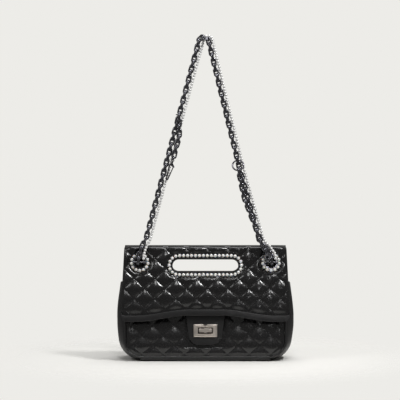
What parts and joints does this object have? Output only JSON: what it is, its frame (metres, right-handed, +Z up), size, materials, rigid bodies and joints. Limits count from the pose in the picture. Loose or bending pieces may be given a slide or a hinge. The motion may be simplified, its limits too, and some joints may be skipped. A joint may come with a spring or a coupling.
{
  "type": "chain shoulder bag",
  "caption": "Small black quilted leather shoulder bag with a flap, a pearl-edged hand slot, a turn lock and a chain strap raised over the bag.",
  "frame": {"origin": "centre of the base's lower face", "axes": "+Z up, the front with its flap faces -Y, +X to the right as seen from the front"},
  "size_m": [0.2662, 0.0877, 0.4859],
  "materials": {
    "quilted_leather": "black, glossy, fine grained",
    "plain_leather": "black, smooth, satin",
    "piping_leather": "black, rolled edge",
    "lining_fabric": "dark woven lining",
    "board": "grey board",
    "lock_metal": "pale pinkish silver, satin",
    "chain_metal": "dark gunmetal plate, polished",
    "fitting_metal": "gunmetal plate, polished",
    "pearl": "pearl coated bead",
    "thread": "beading thread",
    "spring_steel": "plain spring steel"
  },
  "bodies": {
    "bag": {"front_panel": "quilted_leather", "back_panel": "quilted_leather", "left_gusset": "plain_leather", "right_gusset": "plain_leather", "base_panel": "plain_leather", "base_board": "board", "front_piping": "piping_leather", "back_piping": "piping_leather", "mouth_binding": "plain_leather", "lining": "lining_fabric", "back_slot_binding": "plain_leather", "lock_base": "lock_metal", "lock_backing_plate": "lock_metal"},
    "turn_bar": {"turn_bar": "lock_metal"},
    "flap": {"flap_shell": "quilted_leather", "flap_lining": "plain_leather", "flap_hem": "plain_leather", "flap_slot_binding": "plain_leather", "slot_pearls": "pearl", "left_eyelet": "fitting_metal", "right_eyelet": "fitting_metal", "left_eyelet_washer": "fitting_metal", "right_eyelet_washer": "fitting_metal", "left_eyelet_pearls": "pearl", "right_eyelet_pearls": "pearl", "tongue": "plain_leather", "lock_front_plate": "lock_metal", "lock_clamp_plate": "lock_metal", "lock_rivets": "lock_metal", "left_anchor_ring": "chain_metal", "right_anchor_ring": "chain_metal", "left_anchor_tab": "plain_leather", "right_anchor_tab": "plain_leather"},
    "strap": {"chain_left": "chain_metal", "chain_top": "chain_metal", "chain_right": "chain_metal", "chain_tail": "chain_metal", "chain_double": "chain_metal", "tail_ring": "fitting_metal", "clasp_ring": "fitting_metal", "clasp_body": "fitting_metal", "clasp_pin": "fitting_metal", "clasp_spring": "spring_steel", "pearl_strand": "pearl", "pearl_thread": "thread", "pearl_end_loops": "fitting_metal"},
    "strap_ring": {"o_ring": "fitting_metal"},
    "clasp_lever": {"clasp_lever": "fitting_metal"}
  },
  "joints": [
    {"name": "flap_hinge", "type": "hinge", "parent": "bag", "child": "flap", "pos_m": [0, 0.00861, 0.168], "axis": [-1, 0, 0], "range_deg": [0, 150]},
    {"name": "turn_lock", "type": "hinge", "parent": "bag", "child": "turn_bar", "pos_m": [0, -0.04262, 0.0466], "axis": [0, -0.9781, 0.2079], "range_deg": [0, 90]},
    {"name": "strap_swing", "type": "hinge", "parent": "flap", "child": "strap", "pos_m": [0, -0.02834, 0.14746], "axis": [1, 0, 0], "range_deg": [0, 115]},
    {"name": "ring_turn", "type": "hinge", "parent": "strap", "child": "strap_ring", "pos_m": [0.04877, -0.01655, 0.29113], "axis": [-0.0347, -0.8711, 0.4898], "continuous": true},
    {"name": "clasp_gate", "type": "hinge", "parent": "strap", "child": "clasp_lever", "pos_m": [-0.04811, -0.02017, 0.29016], "axis": [0, 0.9945, -0.1045], "range_deg": [0, 12], "stiffness_Nm_per_rad": 0.002, "springref_deg": -11.46}
  ]
}
